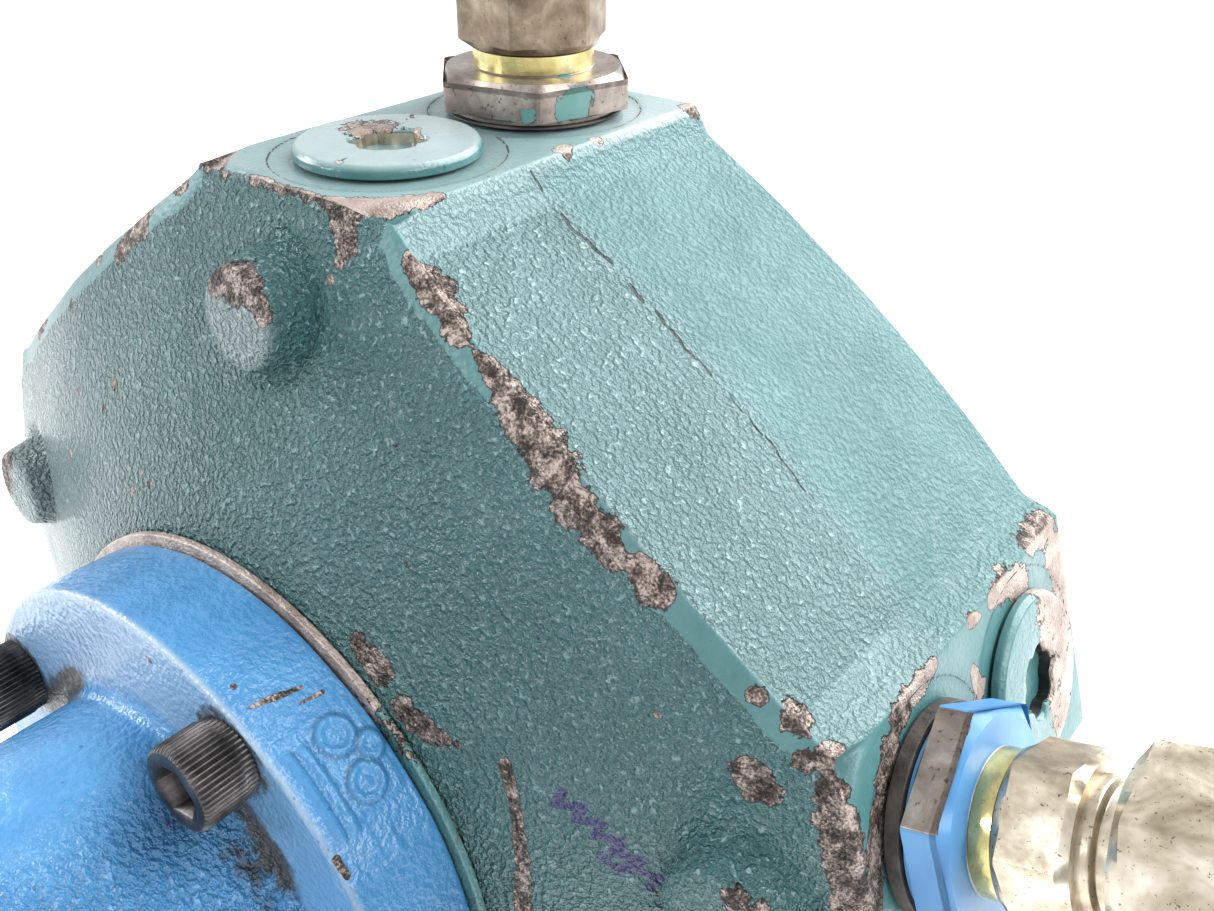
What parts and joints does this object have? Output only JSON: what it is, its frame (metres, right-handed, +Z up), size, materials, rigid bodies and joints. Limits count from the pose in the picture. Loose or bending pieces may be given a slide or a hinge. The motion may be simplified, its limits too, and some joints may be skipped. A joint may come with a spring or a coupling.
{
  "type": "right angle bevel gearbox",
  "caption": "Right angle bevel gearbox: five-sided cast housing, round output bearing flange, input lantern with foot flange, lubrication fittings.",
  "frame": {"origin": "centre of the foot flange's bottom face, on the input shaft's axis", "axes": "+Z up along the input shaft, -Y along the output shaft out of the round bearing flange, +X to the right of a viewer who faces that flange"},
  "size_m": [0.3469, 0.305, 0.4718],
  "materials": {
    "teal_paint": "semi-gloss machine enamel over rough casting, chipped on the edges",
    "blue_paint": "semi-gloss enamel over casting, small chips",
    "bare_steel": "machined, lightly worn",
    "zinc_plate": "yellow-passivated zinc plate",
    "black_oxide": "black oxide, oily",
    "seal_rubber": "matte nitrile rubber",
    "gasket_board": "unpainted fibre gasket board",
    "bearing_steel": "ground",
    "gear_steel": "hardened and ground",
    "cage_brass": "machined"
  },
  "bodies": {
    "casing": {"housing": "teal_paint", "rear_cover": "teal_paint", "rear_bolt_1": "bare_steel", "rear_bolt_2": "bare_steel", "rear_bolt_3": "bare_steel", "rear_bolt_4": "bare_steel", "rear_bolt_5": "bare_steel", "rear_bolt_6": "bare_steel", "bearing_flange": "blue_paint", "flange_shim": "gasket_board", "flange_screw_1": "black_oxide", "flange_screw_2": "black_oxide", "flange_screw_3": "black_oxide", "flange_screw_4": "black_oxide", "front_bearing_outer": "bearing_steel", "rear_bearing_outer": "bearing_steel", "upper_bearing_outer": "bearing_steel", "lower_bearing_outer": "bearing_steel", "output_seal": "seal_rubber", "input_seal": "seal_rubber", "input_lantern": "teal_paint", "lantern_screw_1": "black_oxide", "lantern_screw_2": "black_oxide", "lantern_screw_3": "black_oxide", "lantern_screw_4": "black_oxide", "plug_top": "teal_paint", "plug_right": "teal_paint", "plug_left_front": "teal_paint", "plug_left_rear": "teal_paint", "plug_low_right_front": "teal_paint", "plug_low_right_rear": "teal_paint", "plug_low_left_front": "teal_paint", "plug_low_left_rear": "teal_paint", "top_adapter": "bare_steel", "top_union_body": "zinc_plate", "top_union_nut": "zinc_plate", "top_blanking_plug": "bare_steel", "top_seal_ring": "seal_rubber", "right_adapter": "blue_paint", "right_union_body": "zinc_plate", "right_union_nut": "zinc_plate", "right_blanking_plug": "bare_steel", "right_seal_ring": "seal_rubber"},
    "output_rotor": {"output_shaft": "bare_steel", "output_key": "bare_steel", "crown_wheel": "gear_steel", "wheel_key": "bare_steel", "wheel_spacer": "bare_steel", "front_bearing_inner": "bearing_steel", "rear_bearing_inner": "bearing_steel"},
    "input_rotor": {"pinion_shaft": "gear_steel", "input_key": "bare_steel", "pinion_spacer": "bare_steel", "pinion_locknut": "bare_steel", "upper_bearing_inner": "bearing_steel", "lower_bearing_inner": "bearing_steel"},
    "front_cage": {"front_bearing_cage": "cage_brass"},
    "rear_cage": {"rear_bearing_cage": "cage_brass"},
    "upper_cage": {"upper_bearing_cage": "cage_brass"},
    "lower_cage": {"lower_bearing_cage": "cage_brass"}
  },
  "joints": [
    {"name": "output_spin", "type": "hinge", "parent": "casing", "child": "output_rotor", "pos_m": [0, 0, 0.265], "axis": [0, 1, 0], "continuous": true},
    {"name": "input_spin", "type": "hinge", "parent": "casing", "child": "input_rotor", "pos_m": [0, 0, 0.265], "axis": [0, 0, 1], "continuous": true},
    {"name": "front_cage_spin", "type": "hinge", "parent": "casing", "child": "front_cage", "pos_m": [0, 0, 0.265], "axis": [0, 1, 0], "continuous": true},
    {"name": "rear_cage_spin", "type": "hinge", "parent": "casing", "child": "rear_cage", "pos_m": [0, 0, 0.265], "axis": [0, 1, 0], "continuous": true},
    {"name": "upper_cage_spin", "type": "hinge", "parent": "casing", "child": "upper_cage", "pos_m": [0, 0, 0.265], "axis": [0, 0, 1], "continuous": true},
    {"name": "lower_cage_spin", "type": "hinge", "parent": "casing", "child": "lower_cage", "pos_m": [0, 0, 0.265], "axis": [0, 0, 1], "continuous": true}
  ],
  "couplings": [
    {"joint": "input_spin", "follows": "output_spin", "ratio": 3},
    {"joint": "front_cage_spin", "follows": "output_spin", "ratio": 0.45},
    {"joint": "rear_cage_spin", "follows": "output_spin", "ratio": 0.45},
    {"joint": "upper_cage_spin", "follows": "output_spin", "ratio": 1.32},
    {"joint": "lower_cage_spin", "follows": "output_spin", "ratio": 1.32}
  ]
}
